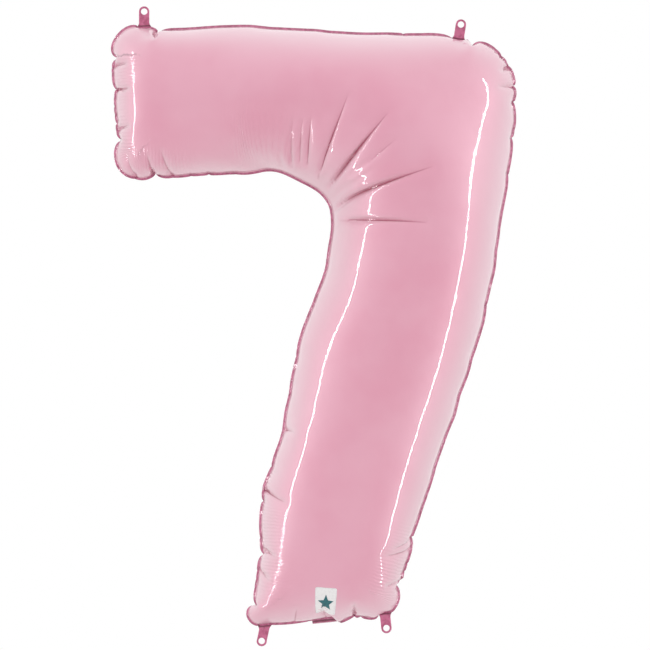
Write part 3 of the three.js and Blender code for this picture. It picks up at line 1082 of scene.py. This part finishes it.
VALVE_WIDTH = 44 * MM
VALVE_LENGTH = 105 * MM
VALVE_CORNER = 8 * MM
VALVE_FILM = 0.06 * MM
VALVE_GAP = 0.03 * MM
VALVE_SPACING = 2.5 * MM
VALVE_WAVE = 2.4 * MM
COAT_WIDTH = 24 * MM
COAT_LENGTH = 40 * MM
COAT_HALF = 0.02 * MM


def rounded_rectangle(low, high, radius, corners):
    """A rectangle's outline whose named corners (0 to 3, from the lower left) are round."""
    outline = []
    places = [(low[0], low[1]), (high[0], low[1]), (high[0], high[1]), (low[0], high[1])]
    for k, (x, z) in enumerate(places):
        if k not in corners:
            outline.append([(x, z)])
            continue
        inward = (1 if x == low[0] else -1, 1 if z == low[1] else -1)
        centre = np.array([x + inward[0] * radius, z + inward[1] * radius])
        turn = math.radians(180 + 90 * k) + np.linspace(0, math.pi / 2, 7)[:, None]
        outline.append(centre + radius * np.hstack([np.cos(turn), np.sin(turn)]))
    return np.vstack(outline)


def add_valve():
    crease, axis = CREASE_LINES["fill_neck"]
    out = outwards_from(axis)

    def sheet(width, length, radius):
        low, high = (-width / 2, 0), (width / 2, length)
        outline = rounded_rectangle(low, high, radius, (2, 3) if radius else ())
        return filled(outline, VALVE_SPACING)

    def place(u, v):
        inside = max(v - FLANGE, 0) / VALVE_LENGTH
        wave = math.sin(0.21 * u / MM + 1) * math.sin(0.08 * v / MM)
        wave += 0.4 * math.sin(0.5 * u / MM + 0.19 * v / MM)
        return crease + u * axis - v * out + np.array([0, VALVE_WAVE * wave * inside, 0])

    flat, triangles = sheet(VALVE_WIDTH, VALVE_LENGTH, VALVE_CORNER)
    points = np.array([place(u, v) for u, v in flat])
    for side, faces in (("front", triangles[:, ::-1]), ("back", triangles)):
        closed, skin = shell(points, faces, VALVE_GAP + VALVE_FILM, VALVE_GAP)
        piece = make_piece(f"valve_{side}_sheet", closed, skin, valve_film, pattern=twice(in_plane(flat)))
        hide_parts(f"valve_{side}_film")
        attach(piece, "envelope")

    flat, triangles = sheet(COAT_WIDTH, COAT_LENGTH, 0)
    points = np.array([place(u, v) for u, v in flat])
    closed, skin = shell(points, triangles, COAT_HALF, -COAT_HALF)
    piece = make_piece("release_coat_patch", closed, skin, release_ink, pattern=twice(in_plane(flat)))
    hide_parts("valve_release_coat")
    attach(piece, "envelope")


add_valve()


# -------------------- printed mark

MARK_CENTRE = np.array([62, -447]) * MM  # on the flat pattern
MARK_SIZE = np.array([31, 56]) * MM
MARK_TURN = math.radians(2)
MARK_CORNER = 3 * MM
MARK_LIFT = 0.44 * MM  # from the middle of the film to the ink, over the panel's outer face
INK = 0.04 * MM
PRINT_STEP = 0.2 * MM  # from the white panel to the print on it
STAR_POINTS = 5
STAR_REACH = 12 * MM, 5.4 * MM  # from its middle to its tips, and to its inner corners
STAR_STRETCH = [1, 1.4]


def star(points, outer, inner):
    turn = np.linspace(0, 2 * math.pi, 2 * points, endpoint=False) + math.pi / 2
    reach = np.tile([outer, inner], points)
    return np.stack([reach * np.cos(turn), reach * np.sin(turn)], axis=1)


def add_mark():
    """A plain star on a white panel, printed on the front film above the foot."""
    flat, triangles, place = mark_base
    flat = in_plane(flat)
    tree = BVHTree.FromPolygons([Vector(p) for p in flat], triangles.tolist())
    normals = normals_of(place, triangles)
    cos, sin = math.cos(MARK_TURN), math.sin(MARK_TURN)
    turned = np.array([[cos, sin], [-sin, cos]])

    def on_film(points, lift):
        placed = []
        for x, z in points @ turned + MARK_CENTRE:
            hit, _, index, _ = tree.ray_cast(Vector((x, -1, z)), Vector((0, 1, 0)))
            corners = triangles[index]
            here = [Vector(flat[k]) for k in corners]
            there = [Vector(place[k] + normals[k] * lift) for k in corners]
            placed.append(barycentric_transform(hit, *here, *there))
        return np.array(placed)

    def add_print(name, outline, spacing, lift, ink):
        points, faces = filled(outline, spacing)
        closed, skin = shell(on_film(points, lift), faces, INK, 0)
        piece = make_piece(name, closed, skin, ink, pattern=twice(in_plane(points)))
        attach(piece, "envelope")

    half = MARK_SIZE / 2
    panel = rounded_rectangle(-half, half, MARK_CORNER, (0, 1, 2, 3))
    add_print("mark_panel", panel, 2 * MM, MARK_LIFT, mark_white)
    shape = star(STAR_POINTS, *STAR_REACH) * STAR_STRETCH
    add_print("mark_star", shape, 1.4 * MM, MARK_LIFT + PRINT_STEP, mark_teal)


add_mark()


# -------------------- floor, lights and camera

FLOOR_HEIGHT = -1.5
FLOOR_RADIUS = 8
FRAME_WIDTH = 0.936  # metres across the picture, in the balloon's plane
LENS = 200.0
SENSOR = 36.0
AIM = (cad_low + cad_high) / 2 + Vector((0.0146, 0, 0.0018))
WORLD_FRONT = 0.8  # how bright the studio is round the camera, and to its sides
WORLD_SIDE = 0.95
STRIP_DISTANCE = 1.9
STRIP_SIZE = 0.06, 3.2
STRIP_POWER = 15
FLOOR_SIDES = 96


def add_floor():
    turn = np.linspace(0, 2 * math.pi, FLOOR_SIDES, endpoint=False)
    rim = np.stack([np.cos(turn), np.sin(turn), np.zeros_like(turn)], axis=1) * FLOOR_RADIUS
    points = np.vstack([rim, [[0, 0, 0]]]) + [0, 0, FLOOR_HEIGHT]
    k = np.arange(FLOOR_SIDES)
    triangles = np.stack([k, (k + 1) % FLOOR_SIDES, np.full_like(k, FLOOR_SIDES)], axis=1)
    make_piece("floor", points, triangles, floor_material())


def add_strip(name, azimuth):
    """A tall softbox that faces the balloon, azimuth degrees round from the camera."""
    light = bpy.data.lights.new(name, "AREA")
    light.shape = "RECTANGLE"
    light.size, light.size_y = STRIP_SIZE
    light.energy = STRIP_POWER
    lamp = bpy.data.objects.new(name, light)
    turn = math.radians(azimuth)
    lamp.location = AIM + STRIP_DISTANCE * Vector((math.sin(turn), -math.cos(turn), 0))
    lamp.rotation_euler = (AIM - lamp.location).to_track_quat("-Z", "Y").to_euler()
    lamp.visible_diffuse = False  # seen in the gloss only
    bpy.context.scene.collection.objects.link(lamp)


def add_world():
    """White studio: bright at the sides and behind, darker round the camera."""
    world = bpy.data.worlds.new("studio")
    bpy.context.scene.world = world
    world.use_nodes = True
    tree = world.node_tree
    direction = add_node(tree, "ShaderNodeTexCoord").outputs["Generated"]
    split = add_node(tree, "ShaderNodeSeparateXYZ", {0: direction})
    surround = ramp(tree, split.outputs[1], -1.0, -0.1, WORLD_FRONT, WORLD_SIDE)
    sky = ramp(tree, split.outputs[2], -0.6, 0.7, 0.9, 1.1)
    level = math_node(tree, "MULTIPLY", surround, sky)
    seen = add_node(tree, "ShaderNodeLightPath").outputs["Is Camera Ray"]
    strength = mix_colour(tree, seen, level, (1, 1, 1, 1))
    set_inputs(tree, tree.nodes["Background"], {"Color": (1, 1, 1, 1), "Strength": strength})


def add_camera():
    camera = bpy.data.cameras.new("camera")
    camera.lens, camera.sensor_width = LENS, SENSOR
    holder = bpy.data.objects.new("camera", camera)
    holder.location = AIM + Vector((0, -FRAME_WIDTH * LENS / SENSOR, 0))
    holder.rotation_euler = (math.radians(90), 0, 0)
    bpy.context.scene.collection.objects.link(holder)
    bpy.context.scene.camera = holder


add_floor()
add_strip("left_strip", -80)
add_strip("right_strip", 76)
add_world()
add_camera()
bpy.context.scene.view_settings.view_transform = "Standard"
